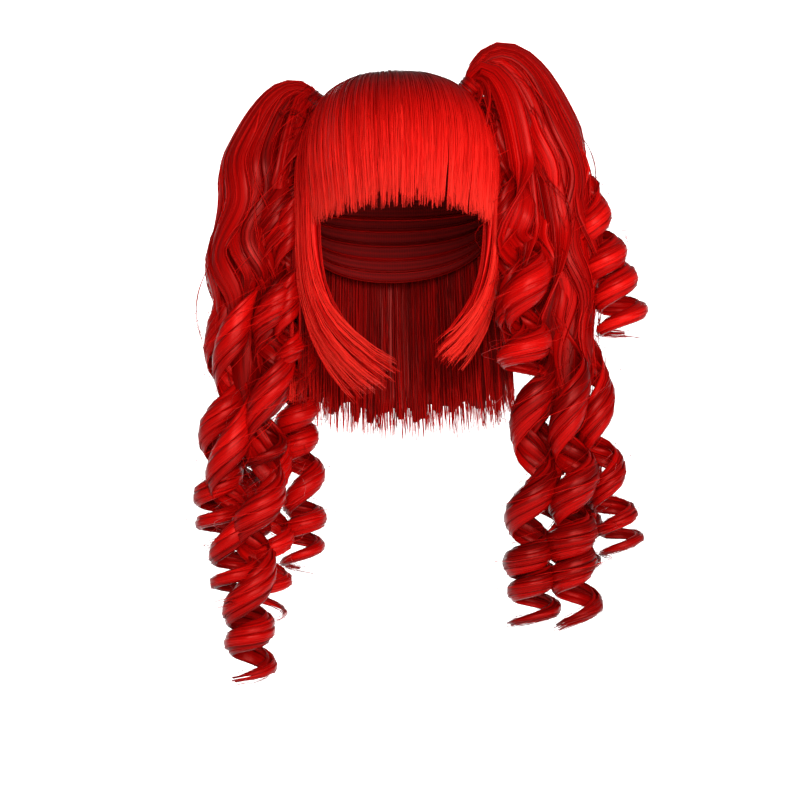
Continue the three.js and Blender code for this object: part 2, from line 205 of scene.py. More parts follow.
# %% [markdown]
# The strand tree
#
# A lock is drawn by a few guide lines. Geometry Nodes turn each guide into a bundle: the line is
# copied, every copy is pushed aside within the lock's width and depth, cut to its own length, given a
# taper and swept with a small three-sided section. Hair curves would do for a picture, but the
# finished model has to be plain meshes. The tree starts with its named inputs.

# %% Inputs of the tree
INPUTS = (("Hairs", "Int"), ("Inner Share", "Float"), ("Hair Width", "Float"), ("Fray", "Float"),
          ("Wander", "Float"), ("Tint Spread", "Float"), ("Seed", "Int"), ("Material", "Material"))
STRANDS = bpy.data.node_groups.new("strands_from_guides", "GeometryNodeTree")
STRANDS.interface.new_socket("Geometry", in_out="INPUT", socket_type="NodeSocketGeometry")
for title, kind in INPUTS:
    STRANDS.interface.new_socket(title, in_out="INPUT", socket_type="NodeSocket" + kind)
STRANDS.interface.new_socket("Geometry", in_out="OUTPUT", socket_type="NodeSocketGeometry")
given = node(STRANDS, "NodeGroupInput").outputs
print("inputs:", [title for title, kind in INPUTS])

# %% [markdown]
# Copies of a guide
#
# A guide's points carry the lock's half width and half depth, the shade, the share of the length, and
# the directions across and out of the lock, so that the bundle turns with a curl. Each copy draws three
# numbers of its own: its turn round the lock's middle, how much of its tip is lost, and how far out it
# lies. A quick wave of the turn gives it a tint of its own too.

# %% Copy each guide
GUIDE_NUMBERS, GUIDE_WAYS = ("half_width", "half_depth", "share", "shade"), ("across", "out")
HAIR_DRAWS = {"turn": 2 * math.pi, "trim": 1.0, "reach": 1.0}
SEED_STEP, TINT_BEAT = 17.0, 53.0
read = {}
for kind, titles in (("FLOAT", (*GUIDE_NUMBERS, *HAIR_DRAWS)), ("FLOAT_VECTOR", GUIDE_WAYS)):
    for title in titles:
        read[title] = node(STRANDS, "GeometryNodeInputNamedAttribute", {"Name": title}, data_type=kind)
guide = node(STRANDS, "GeometryNodeMeshToCurve", {"Mesh": given["Geometry"]})
copies = node(STRANDS, "GeometryNodeDuplicateElements", {"Geometry": guide, "Amount": given["Hairs"]},
              domain="SPLINE")
for step, (title, most) in enumerate(HAIR_DRAWS.items()):
    seed = node(STRANDS, "ShaderNodeMath", {0: given["Seed"], 1: SEED_STEP * step}, operation="ADD")
    draw = node(STRANDS, "FunctionNodeRandomValue", {2: 0.0, 3: most, 8: seed}, data_type="FLOAT")
    copies = node(STRANDS, "GeometryNodeStoreNamedAttribute",
                  {"Geometry": copies, "Name": title, "Value": draw.outputs[1]},
                  data_type="FLOAT", domain="CURVE")
beat = node(STRANDS, "ShaderNodeMath", {0: read["turn"], 1: TINT_BEAT}, operation="MULTIPLY")
beat = node(STRANDS, "ShaderNodeMath", {0: beat}, operation="SINE")
own = node(STRANDS, "ShaderNodeMath", {0: beat, 1: given["Tint Spread"]}, operation="MULTIPLY")
tint = node(STRANDS, "ShaderNodeMath", {0: own, 1: read["shade"]}, operation="ADD")
copies = node(STRANDS, "GeometryNodeStoreNamedAttribute",
              {"Geometry": copies, "Name": "tint", "Value": tint}, data_type="FLOAT", domain="POINT")
print("each copy draws", list(HAIR_DRAWS))

# %% [markdown]
# Copies pushed aside
#
# The threads of a real lock fill an oval. A copy's turn and reach place it there, and the root of the
# reach keeps the filling even. A slow noise makes the strands wander apart, more so towards the tip.

# %% Push the copies aside
DRIFT_SCALE, DRIFT_BEAT = 28.0, 9.0
reach = node(STRANDS, "ShaderNodeMath", {0: read["reach"], 1: 0.5}, operation="POWER")
reach = node(STRANDS, "ShaderNodeMapRange", {"Value": reach, "To Min": given["Inner Share"]})
pushes = []
for swing, size, way in (("COSINE", "half_width", "across"), ("SINE", "half_depth", "out")):
    part = node(STRANDS, "ShaderNodeMath", {0: read["turn"]}, operation=swing)
    part = node(STRANDS, "ShaderNodeMath", {0: part, 1: read[size]}, operation="MULTIPLY")
    part = node(STRANDS, "ShaderNodeMath", {0: part, 1: reach}, operation="MULTIPLY")
    pushes.append(node(STRANDS, "ShaderNodeVectorMath", {0: read[way], "Scale": part}, operation="SCALE"))
place = node(STRANDS, "GeometryNodeInputPosition")
beat = node(STRANDS, "ShaderNodeMath", {0: read["turn"], 1: DRIFT_BEAT}, operation="MULTIPLY")
drift = node(STRANDS, "ShaderNodeTexNoise",
             {"Vector": place, "Scale": DRIFT_SCALE, "W": beat, "Detail": 1.0}, noise_dimensions="4D")
drift = node(STRANDS, "ShaderNodeVectorMath", {0: drift.outputs["Color"], 1: (0.5, 0.5, 0.5)},
             operation="SUBTRACT")
loose = node(STRANDS, "ShaderNodeMath", {0: read["share"], 1: given["Wander"]}, operation="MULTIPLY")
pushes.append(node(STRANDS, "ShaderNodeVectorMath", {0: drift, "Scale": loose}, operation="SCALE"))
offset = pushes[0]
for push in pushes[1:]:
    offset = node(STRANDS, "ShaderNodeVectorMath", {0: offset, 1: push}, operation="ADD")
laid = node(STRANDS, "GeometryNodeSetPosition", {"Geometry": copies, "Offset": offset})
print("pushes on each copy:", len(pushes))

# %% [markdown]
# Strands swept
#
# One swept strand stands for a pencil of threads, because single ones are far too many to model. Three
# sides are enough at its size. It keeps its width for most of its length and then thins to a blunt tip.

# %% Cut, taper and sweep
TAPER_START, HALF_AT_ROOT, HALF_AT_TIP = 0.85, 0.5, 0.2
SECTION_SIDES = 3
lost = node(STRANDS, "ShaderNodeMath", {0: read["trim"], 1: given["Fray"]}, operation="MULTIPLY")
end = node(STRANDS, "ShaderNodeMath", {0: 1.0, 1: lost}, operation="SUBTRACT")
cut = node(STRANDS, "GeometryNodeTrimCurve", {"Curve": laid, 3: end}, mode="FACTOR")
along = node(STRANDS, "GeometryNodeSplineParameter").outputs["Factor"]
taper = node(STRANDS, "ShaderNodeMapRange", {"Value": along, "From Min": TAPER_START,
                                             "To Min": HALF_AT_ROOT, "To Max": HALF_AT_TIP})
radius = node(STRANDS, "ShaderNodeMath", {0: taper, 1: given["Hair Width"]}, operation="MULTIPLY")
section = node(STRANDS, "GeometryNodeCurvePrimitiveCircle", {"Resolution": SECTION_SIDES, "Radius": 1.0},
               mode="RADIUS")
swept = node(STRANDS, "GeometryNodeCurveToMesh",
             {"Curve": cut, "Profile Curve": section, "Fill Caps": True, "Scale": radius})
smooth = node(STRANDS, "GeometryNodeSetShadeSmooth", {"Geometry": swept, "Shade Smooth": True})
real = node(STRANDS, "GeometryNodeRealizeInstances", {"Geometry": smooth})
dyed = node(STRANDS, "GeometryNodeSetMaterial", {"Geometry": real, "Material": given["Material"]})
node(STRANDS, "NodeGroupOutput", {"Geometry": dyed})
print("nodes in the strand tree:", len(STRANDS.nodes))

# %% [markdown]
# From guides to a piece
#
# The guide lines become a mesh of edges whose points carry what the tree reads. The tree's result is
# turned into a plain mesh, the modifier goes, and the numbers that only the tree needed go as well.

# %% Lay strands along guides
triangles = []


def directions(lines, out):
    """Unit directions across and out of each guide line, square to its run."""
    run = np.gradient(lines, axis=-2)
    run /= np.linalg.norm(run, axis=-1, keepdims=True)
    across = np.cross(run, out)
    across /= np.linalg.norm(across, axis=-1, keepdims=True)
    return across, np.cross(across, run)


def keep(piece, slot="hair_fibre", *nodes):
    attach(piece, "root")
    if nodes:
        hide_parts(*nodes)
    piece.data.calc_loop_triangles()
    triangles.append(len(piece.data.loop_triangles))
    print(piece.name, triangles[-1], "triangles")


def guide_mesh(name, lines, out, half_width, half_depth, shade):
    """Mesh of edges along lines of shape (guides, points, 3), with the numbers that the tree reads."""
    count, points = lines.shape[:2]
    first = np.arange(count * points).reshape(count, points)
    edges = np.stack([first[:, :-1].ravel(), first[:, 1:].ravel()], 1)
    mesh = bpy.data.meshes.new(name + "_guides")
    mesh.from_pydata(lines.reshape(-1, 3), edges.tolist(), [])
    for title, values in zip(GUIDE_NUMBERS, (half_width, half_depth, np.linspace(0, 1, points), shade)):
        values = np.broadcast_to(values, (count, points)).astype(np.float32).ravel()
        mesh.attributes.new(title, "FLOAT", "POINT").data.foreach_set("value", values)
    for title, values in zip(GUIDE_WAYS, directions(lines, out)):
        attribute = mesh.attributes.new(title, "FLOAT_VECTOR", "POINT")
        attribute.data.foreach_set("vector", values.astype(np.float32).ravel())
    return mesh


def strands(name, lines, out, half_width, half_depth, shade, slot="hair_fibre", **inputs):
    """A piece of loose strands along guide lines. The inputs are those of the tree."""
    guides = guide_mesh(name, lines, out, half_width, half_depth, shade)
    piece = bpy.data.objects.new(name, guides)
    bpy.context.collection.objects.link(piece)
    modifier = piece.modifiers.new("strands", "NODES")
    modifier.node_group = STRANDS
    sockets = {s.name: s.identifier for s in STRANDS.interface.items_tree if s.in_out == "INPUT"}
    for title, value in dict(inputs, Material=hair_red).items():
        modifier[sockets[title.replace("_", " ")]] = value
    bpy.context.view_layer.update()
    swept = bpy.data.meshes.new_from_object(piece.evaluated_get(bpy.context.evaluated_depsgraph_get()))
    piece.modifiers.clear()
    piece.data = swept
    swept.name = name
    for title in (*GUIDE_NUMBERS, *GUIDE_WAYS, *HAIR_DRAWS):
        if title in swept.attributes:
            swept.attributes.remove(swept.attributes[title])
    swept.uv_layers.new(name="fibre")
    keep(piece, slot)


print("a guide carries", GUIDE_NUMBERS + GUIDE_WAYS)

# %% [markdown]
# Bodies of the locks
#
# Behind the loose strands each lock has a solid body, so that no light shines through where the real
# lock is dense. More strands could fill it, but at many times the triangles. A body is a grid of points
# closed into a skin. Its UV map runs in metres, set further along for each lock, so that no two locks
# have the same streaks.

# %% Closed skins from grids
MAP_STEP = 0.37


def closed_grid(grid, offset, number):
    """Faces and their UV corners for one grid, closed in a ring and at both ends."""
    rows, columns = grid.shape[:2]
    ring = np.concatenate([grid, grid[:, :1]], 1)
    run = np.r_[0, np.cumsum(np.linalg.norm(np.diff(grid, axis=0), axis=2).mean(1))]
    girth = np.linalg.norm(np.diff(ring, axis=1), axis=2).max(0)
    around = np.r_[0, np.cumsum(girth)] + MAP_STEP * number
    index = offset + np.arange(rows * columns).reshape(rows, columns)
    beside = np.roll(index, -1, 1)
    quads = np.stack([index[:-1], beside[:-1], beside[1:], index[1:]], -1).reshape(-1, 4)
    half = np.arange(columns // 2 - 1)
    rungs = np.stack([half, half + 1, columns - 2 - half, columns - 1 - half], 1)
    ends = ((0, rungs[:, ::-1]), (-1, rungs))
    faces = np.concatenate([quads, *(index[row, order] for row, order in ends)])
    u, v = np.meshgrid(around, run)
    first, last = slice(0, -1), slice(1, None)
    corners = [np.stack([u[a, b], v[a, b]], -1)
               for a, b in ((first, first), (first, last), (last, last), (last, first))]
    lay = [np.stack(corners, 2).reshape(-1, 2)]
    lay += [np.stack([around[order].ravel(), np.full(order.size, run[row])], 1) for row, order in ends]
    return faces.tolist(), np.concatenate(lay)


def skin(name, grids, material, shades):
    """One mesh object from grids of points (rows, columns, 3), each with its shade."""
    faces, lay, offset = [], [], 0
    for number, grid in enumerate(grids):
        closed, corners = closed_grid(grid, offset, number)
        faces += closed
        lay.append(corners)
        offset += grid.shape[0] * grid.shape[1]
    mesh = bpy.data.meshes.new(name)
    mesh.from_pydata(np.concatenate([grid.reshape(-1, 3) for grid in grids]), [], faces)
    mesh.uv_layers.new(name="fibre").data.foreach_set("uv", np.concatenate(lay).astype(np.float32).ravel())
    tints = [np.broadcast_to(shade, grid.shape[:2]).ravel() for grid, shade in zip(grids, shades)]
    tint = mesh.attributes.new("tint", "FLOAT", "POINT")
    tint.data.foreach_set("value", np.concatenate(tints).astype(np.float32))
    mesh.polygons.foreach_set("use_smooth", np.ones(len(faces), bool))
    mesh.materials.append(material)
    mesh.update()
    piece = bpy.data.objects.new(name, mesh)
    bpy.context.collection.objects.link(piece)
    return piece


print("metres between the maps of two locks:", MAP_STEP)

# %% [markdown]
# The cap
#
# Inside the wig sits a stretch net cap, with a folded elastic band at its rim. It could be knitted from
# modelled thread, but it is hidden by the hair and seen only from inside, so it is one thin shell that
# is thicker at the rim, with the net drawn by its material.

# %% Net cap
CAP_FRONT_RISE, CAP_NAPE_DROP, CAP_NAPE_TUCK = 0.2, 58 * MM, 0.22
DOME_END, NAPE_START = 0.75, 0.7
CAP_COLUMNS, CAP_ROWS, RIM_START, RIM_FULL = 96, 30, 0.9, 0.93
NET_PITCH, HOLE_EDGE, HOLE_END = 2.0 * MM, 0.3, 0.45


def on_cap(azimuth, way, lift):
    """Point on the cap, with way from 0 at the crown to 1 at the rim."""
    front, back = np.maximum(np.cos(azimuth), 0), (1 - np.cos(azimuth)) / 2
    drop = CAP_NAPE_DROP * back * ease(way, NAPE_START, 1)
    polar = np.pi / 2 * np.minimum(way / DOME_END, 1) * (1 - CAP_FRONT_RISE * front ** 2)
    return over_head(azimuth, polar, lift, drop, 0, CAP_NAPE_TUCK * drop / CAP_NAPE_DROP)


def net(name, thread, gap):
    # Knitted on a warp machine from crimped nylon: a regular net of fine holes, with no gloss.
    material, shader = new_material(name, **{"Roughness": 0.85, "IOR": 1.53, "Specular IOR Level": 0.1})
    tree = material.node_tree
    lay = node(tree, "ShaderNodeUVMap", uv_map="fibre")
    scaled = node(tree, "ShaderNodeVectorMath", {0: lay, "Scale": 1 / NET_PITCH}, operation="SCALE")
    hole = node(tree, "ShaderNodeTexVoronoi", {"Vector": scaled, "Scale": 1.0, "Randomness": 0.0},
                voronoi_dimensions="2D")
    edge = node(tree, "ShaderNodeMapRange",
                {"Value": hole.outputs["Distance"], "From Min": HOLE_EDGE, "From Max": HOLE_END})
    tone = node(tree, "ShaderNodeMix", {0: edge, 6: colour(gap), 7: colour(thread)}, data_type="RGBA")
    tree.links.new(tone.outputs[2], shader.inputs["Base Color"])
    return material


cap_net = net("nylon_net_dark_red", "#6c0504", "#500303")
azimuths = np.linspace(0, 2 * np.pi, CAP_COLUMNS, endpoint=False)[None]
ways = np.r_[np.linspace(0.02, 0.97, CAP_ROWS), 1.0]
rim = ease(ways, RIM_START, RIM_FULL)[:, None]
outer = on_cap(azimuths, ways[:, None], CAP_WALL * (0.8 + 0.2 * rim))
inner = on_cap(azimuths, ways[:, None], CAP_WALL * (0.4 - 0.7 * rim))
cap = skin("cap_shell", [np.concatenate([outer, inner[::-1]])], cap_net, [0.5])
keep(cap, "cap_net", "cap")

# %% [markdown]
# The wefts
#
# The hair of a wig is sewn in long rows, the wefts, and the rows are sewn to the cap from ear to ear.
# Inside the cap each shows as a cord of thread, so each is a short bundle from the strand tree.

# %% Wefts inside the cap
WEFT_GAP, WEFT_INSET = 0.05, 0.2 * MM
LOW_WEFTS = (0.77, 0.81, 0.85, 0.89, 0.93, 0.98)
HEAD_MIDDLE = (0, 0, -0.06)
rows = np.r_[np.arange(0.16, 0.74, WEFT_GAP), LOW_WEFTS][:, None]
sides = np.radians(np.linspace(65, 295, 32))[None]
wefts = on_cap(sides, rows + 0 * sides, -WEFT_INSET)
strands("cap_wefts", wefts, wefts - HEAD_MIDDLE, half_width=2.2 * MM, half_depth=0.7 * MM, shade=0.15,
        slot="cap_net", Hairs=7, Inner_Share=0.2, Hair_Width=0.9 * MM, Fray=0.0, Wander=1 * MM,
        Tint_Spread=0.2, Seed=3)

# %% [markdown]
# The bob
#
# Four panels share one rule: from the whorl over the dome, then down. Each row of the table says how
# wide the panel is in degrees round the head, how far it hangs in millimetres at its edges and middle,
# and how much its ends tuck in. The side locks curve in under the jaw, and the back hangs to the nape.
# Panels could be drawn by hand, but one rule keeps their hair running together at the whorl.

# %% The panels
# The shade pair of a panel is its tint at the whorl and towards the hem; the low first value is painted shade
# over the crown.
SIDE_LOCK = dict(tuck_y=-0.4, power=3.5, clump=0.9, guides=22, points=26, hairs=11, uneven=12, hem=36,
                 ragged=0.03, fray=0.09, wander=4, spread=0.2, shade=(0.2, 0.84))
PANELS = {
    "fringe": dict(
        span=(-63, 63), hang=(24, 12, 24), tuck_x=(0, 0), tuck_y=0.02, power=1.0, clump=0.9, guides=96,
        points=16, hairs=13, uneven=7, hem=24, ragged=0.02, fray=0.07, wander=3, spread=0.1,
        shade=(0.0, 0.8), partings=(0.26, 0.37, 0.46, 0.68, 0.8, 0.9)),
    "side_lock_left": dict(SIDE_LOCK, span=(63.6, 84), hang=(116, 124, 132), tuck_x=(0.66, 0.42)),
    "side_lock_right": dict(SIDE_LOCK, span=(-84, -63.6), hang=(156, 144, 130), tuck_x=(0.55, 0.97)),
    "back_hair": dict(
        span=(84.6, 275.4), hang=(164, 184, 140), tuck_x=(-0.18, -0.06), tuck_y=0.28, power=1.6, clump=0.5,
        guides=84, points=18, hairs=10, uneven=18, hem=15, ragged=0.05, fray=0.07, wander=7, spread=0.25,
        shade=(0.2, 0.5)),
}
DOME_RUN, WHORL_SHARE = 150 * MM, 0.01
CROWN_THIN, CROWN_END = 0.55, 0.5
# Painted light added towards the ends of the hair, and where along the way it starts.
TIP_PAINTED_LIGHT, TIP_PAINTED_LIGHT_START = 0.35, 0.82


def panel_points(row, across, way, lift, length=0.0):
    """Points of a panel: across and way run from 0 to 1, way over the dome and then down the hang."""
    azimuth = np.radians(blend(row["span"][0], row["span"][1], across))
    side = 2 * across - 1
    edge = np.where(side < 0, row["hang"][0], row["hang"][2])
    hang = np.maximum(blend(row["hang"][1], edge, side * side) * MM + length, 1 * MM)
    dome = DOME_RUN / (DOME_RUN + hang)
    share = blend(WHORL_SHARE, 1.0, np.minimum(way / dome, 1))
    fall = np.clip((way - dome) / (1 - dome), 0, 1)
    pull = fall ** row["power"]
    tuck_x = pull * blend(row["tuck_x"][0], row["tuck_x"][1], across)
    return along_hair(azimuth, share, lift, fall * hang, tuck_x, pull * row["tuck_y"])


def crown(way):
    """Hair lies thinner at the whorl than lower down."""
    return blend(CROWN_THIN, 1, ease(way, 0, CROWN_END))


def painted_shade_and_light_along(row, way):
    """Painted shade darkens the hair over the crown, and painted light brightens it towards its ends."""
    return blend(*row["shade"], ease(way, 0.1, 0.8)) + TIP_PAINTED_LIGHT * ease(way, TIP_PAINTED_LIGHT_START, 1)


print("panels:", list(PANELS))

# %% [markdown]
# Body of a panel
#
# The body gives a panel its thickness under the loose strands. Its outside is grooved at random, as
# combed hair is, and near the hem it thins out and ends in a ragged line, so that only strands show.

# %% Grooved body with a ragged hem
BODY_ROWS, BODY_TOP, GROOVE = 30, 0.74, 0.08
HEM_THIN, HEM_THIN_START = 0.96, 0.6
# Painted shade under and inside the hair: how much darker a body's outside is than its strands, and the tint
# of its inside.
BODY_INSET, BODY_PAINTED_SHADE, INSIDE_PAINTED_SHADE = 0.2 * MM, 0.1, 0.1


def panel_body(name, row):
    columns = 3 * row["guides"] // 2
    across = np.linspace(0, 1, columns)[None]
    stop = 1 - row["hem"] * MM / (DOME_RUN + row["hang"][1] * MM)
    groove = 0.5 * np.cumsum(dice.uniform(-1, 1, columns)) % 1
    ragged = stop * (1 - row["ragged"] * np.repeat(dice.uniform(0, 1, (columns + 2) // 3), 3)[:columns])
    way = np.linspace(0, 1, BODY_ROWS)[:, None] * ragged
    hem = 1 - HEM_THIN * ease(way / ragged, HEM_THIN_START, 1.0)
    top = HAIR_DEPTH * crown(way) * (BODY_TOP + GROOVE * groove) * hem
    outside = panel_points(row, across, way, HAIR_FOOT + top)
    inside = panel_points(row, across, way, HAIR_FOOT + BODY_INSET + 0 * top)
    # Painted shade: the outside is darker than the strands over it, and the inside darker still.
    tints = np.concatenate([painted_shade_and_light_along(row, way) - BODY_PAINTED_SHADE + 0 * top, INSIDE_PAINTED_SHADE + 0 * top], 1)
    body = skin(name + "_body", [np.concatenate([outside[:, ::-1], inside], 1)], hair_red, [tints])
    keep(body, "hair_fibre", name)


print("rows along a body:", BODY_ROWS)

# %% [markdown]
# Strands of a panel
#
# Guides lie side by side across a panel, each a little out of place and of its own length, and they
# open at the partings that show in the fringe. Under each hanging panel lies a lining, because the
# inside of the wig shows through the face opening; its tint is lowered there as painted shade.

# %% Cover and lining
PARTING_WIDTH = 0.008
GUIDE_STRAY, LIFT_STRAY, SHORTEST, LONGEST = 0.3, 0.08, -1, 0.3
HEM_SINK, OUT_STEP = 1.5 * MM, 4 * MM
GUIDE_OVERLAP, CLUMP_START, GUIDE_TINT = 1.4, 0.65, 0.3
COVER, LINING = 0.86, -0.14
COVER_SEED, LINING_SEED = 11, 51
# The lining's tone lowers its tint as painted shade inside the wig.
LINING_START, LINING_POINTS, LINING_HAIRS, LINING_PAINTED_SHADE = 0.42, 13, 6, -0.4


def panel_layer(name, row, depth, way, hairs, seed, tone=0.0):
    count = row["guides"]
    f = ((np.arange(count) + 0.5 + dice.uniform(-GUIDE_STRAY, GUIDE_STRAY, count)) / count)[:, None]
    length = row["uneven"] * MM * (dice.uniform(SHORTEST, LONGEST, count)[:, None] ** 3 - 0.1)
    lift = HAIR_FOOT + HAIR_DEPTH * (depth + dice.uniform(-LIFT_STRAY, LIFT_STRAY, count))[:, None]
    lift = HAIR_FOOT + (lift - HAIR_FOOT) * crown(way) - HEM_SINK * ease(way, 0.8, 1)
    for parting in row.get("partings", ()):
        away = np.sign(f - parting) * np.exp(-np.abs(f - parting) / (2 * PARTING_WIDTH))
        f = f + PARTING_WIDTH * away * ease(way, 0.5, 1)
    lines = panel_points(row, f, way, lift, length)
    out = panel_points(row, f, way, lift + OUT_STEP, length) - lines
    neighbours = np.array([[0.5 - 0.5 / count], [0.5 + 0.5 / count]])
    gap = np.linalg.norm(np.diff(panel_points(row, neighbours, way, HAIR_TOP), axis=0), axis=2)
    wide = gap * blend(GUIDE_OVERLAP, row["clump"], ease(way, CLUMP_START, 1))
    # Painted shade and light along the hair, lowered by tone as painted shade for the lining, plus a random
    # tint for each guide.
    shade = painted_shade_and_light_along(row, way) + tone + GUIDE_TINT * row["spread"] * dice.standard_normal((count, 1))
    strands(name, lines, out, half_width=wide, half_depth=1.2 * MM, shade=shade, Hairs=hairs,
            Inner_Share=0.0, Hair_Width=0.75 * MM, Fray=row["fray"], Wander=row["wander"] * MM,
            Tint_Spread=row["spread"], Seed=seed)


lining_way = np.linspace(LINING_START, 1, LINING_POINTS)[None]
for number, (name, row) in enumerate(PANELS.items()):
    panel_body(name, row)
    cover_way = np.linspace(0, 1, row["points"])[None]
    panel_layer(name + "_strands", row, COVER, cover_way, row["hairs"], COVER_SEED + number)
    if name != "fringe":
        panel_layer(name + "_lining", row, LINING, lining_way, LINING_HAIRS, LINING_SEED + number,
                    LINING_PAINTED_SHADE)

# %% [markdown]
# The ponytails
#
# Each ponytail is swept up and over from its clasp, falls in waves and ends in ringlets. A ringlet is
# a wide flat lock wound round its own axis. A row of the table is one of them: lift and drop steer the
# axis over the crest and end is its tip, all from the clasp; bulges are the heights below the crown
# at which the lock swings out to one side and then to the other, starting with the side of its sign.
# An even helix would be simpler, but the real curls are uneven, long above and tight at the tip.

# %% The ringlets
COLUMNS = ("lift", "drop", "end", "curl", "side", "bulges", "width", "tip")
# A ponytail's tone lowers the tint of its ringlets and wisps as painted shade: both lie darker than the bob,
# and the right one darker than the left.
PONYTAILS = {
    "left": dict(azimuth=80, share=0.42, tone=-0.06, core=((12, 0, 41), (89, 0, 45), (66, 4, -330)), locks=[
        ((2, -2, 42), (76, -4, 24), (112, -8, -190), 16, -1, (112, 127, 137, 147, 160, 172, 182), 21, 0.7),
        ((6, 0, 44), (50, 4, 30), (112, 2, -354), 14, 1, (227, 266, 287, 309, 324, 333, 342, 350), 25, 0.5),
        ((4, -14, 38), (70, -26, 26), (74, -18, -410), 16, 1,
         (223, 262, 290, 315, 333, 344, 355, 368, 388, 406), 28, 0.8),
        ((2, -22, 24), (38, -38, 0), (34, -34, -220), 16, 1, (142, 168, 192, 206, 216), 27, 0.7),
        ((4, -10, 34), (48, -24, 16), (41, -14, -406), 16, 1,
         (218, 255, 292, 324, 346, 357, 367, 378, 390, 403), 27, 0.75),
        ((4, 10, 42), (66, 26, 26), (84, 18, -366), 15, -1,
         (180, 224, 262, 290, 312, 330, 345, 358), 26, 0.7),
        ((3, -12, 8), (21, -22, -14), (27, -27, -206), 9, 1, (84, 116, 146, 172, 190, 202), 25, 0.6),
        ((8, -4, 12), (40, -8, -4), (57, 4, -345), 12, -1,
         (100, 140, 180, 218, 252, 282, 306, 326), 26, 0.6),
        ((0, -6, 4), (9, -10, -18), (18, -18, -120), 5, 1, (52, 76, 98, 116), 26, 0.4),
    ]),
    "right": dict(azimuth=-106, share=0.52, tone=-0.13, core=((-10, 0, 18), (-68, 2, 6), (-44, 0, -280)),
                  locks=[
        ((-14, 4, 22), (-74, 8, 16), (-68, 4, -336), 15, -1,
         (192, 230, 265, 290, 310, 320, 329, 338), 24, 0.6),
        ((-12, -8, 22), (-66, -16, 14), (-60, -16, -378), 15, -1,
         (210, 248, 293, 325, 353, 362, 374, 382), 28, 0.6),
        ((-8, -14, 16), (-20, -30, 4), (-50, -18, -440), 16, 1,
         (153, 181, 208, 256, 303, 336, 361, 396, 407, 418, 434), 29, 1.0),
        ((-8, 8, 14), (-22, 30, -6), (-3, 16, -358), 14, -1,
         (224, 243, 255, 265, 275, 293, 317, 326, 337, 348, 360), 22, 0.7),
        ((-8, 0, 14), (-22, 4, 0), (-32, 0, -392), 13, -1,
         (180, 215, 250, 285, 315, 340, 358, 372, 384), 22, 0.5),
        ((-12, 12, 20), (-66, 26, 12), (-48, 18, -340), 15, 1, (180, 224, 262, 290, 308, 322, 334), 26, 0.7),
        ((-4, -14, 6), (-22, -24, -14), (-18, -26, -212), 9, 1, (92, 124, 152, 178, 196, 208), 25, 0.6),
        ((-10, -8, 10), (-34, -18, -4), (-34, -14, -280), 12, -1, (110, 150, 190, 226, 254, 270), 26, 0.6),
        ((-2, -6, 4), (-12, -12, -14), (-16, -18, -120), 5, -1, (60, 84, 104, 122), 26, 0.4),
    ]),
}
print("ringlets:", {side: len(tail["locks"]) for side, tail in PONYTAILS.items()})

# %% [markdown]
# The sweep of a lock
#
# A curve with two handles gives the way from the clasp over the crest to the tip, as hair falls when it
# is combed up and let go. Two directions square to that curve are what a lock winds round in.

# %% Axis and directions
AXIS_STEPS = 400
FRONT = (0.0, -1.0, 0.0)


def sweep_axis(lift, drop, end, shares):
    """Points at equal lengths along the sweep from the clasp over the crest to the tip."""
    t = np.linspace(0, 1, AXIS_STEPS)[:, None]
    lift, drop, end = (np.array(p, float) * MM for p in (lift, drop, end))
    line = 3 * (1 - t) ** 2 * t * lift + 3 * (1 - t) * t ** 2 * drop + t ** 3 * end
    run = np.r_[0, np.cumsum(np.linalg.norm(np.diff(line, axis=0), axis=1))]
    return np.stack([np.interp(shares * run[-1], run, line[:, k]) for k in range(3)], 1)


def cross_frame(axis):
    """Unit directions sideways and out of an axis, square to its run."""
    run = np.gradient(axis, axis=0)
    run /= np.linalg.norm(run, axis=1, keepdims=True)
    sideways = np.cross(run, (0, 1, 0))
    sideways /= np.linalg.norm(sideways, axis=1, keepdims=True)
    return sideways, np.cross(sideways, run)


def radial(frame_pair, angle):
    return np.cos(angle)[:, None] * frame_pair[0] + np.sin(angle)[:, None] * frame_pair[1]


print("steps along an axis:", AXIS_STEPS)

# %% [markdown]
# Winding a ringlet
#
# A ringlet makes half a turn from each bulge to the next. It starts flat against the ponytail, facing
# away from its core, then waves, and has its whole curl from the first bulge on.

# %% From bulges to a winding line
CURL_START, WAVE_START, CURL_FLARE = 2.9, 1.3, 0.15
CURL_UNEVEN, UNEVEN_BEAT = 0.14, 2.3
LOCK_STEPS, SMOOTHING = 600, 23
LEAST_POINTS, POINTS_A_BULGE = 20, 7


def half_turns(depth, bulges):
    """How many half turns a lock has made at a depth below the crown, counted from its first bulge."""
    first = bulges[1] - bulges[0]
    marks = np.r_[bulges[0] - CURL_START * first, bulges[0] - WAVE_START * first, bulges]
    turns = np.interp(depth, marks, np.arange(-2, len(bulges)))
    past = np.maximum(depth - bulges[-1], 0) / (bulges[-1] - bulges[-2])
    window = np.hanning(SMOOTHING)
    padded = np.pad(turns + past, SMOOTHING // 2, mode="edge")
    return np.convolve(padded, window / window.sum(), mode="valid"), marks


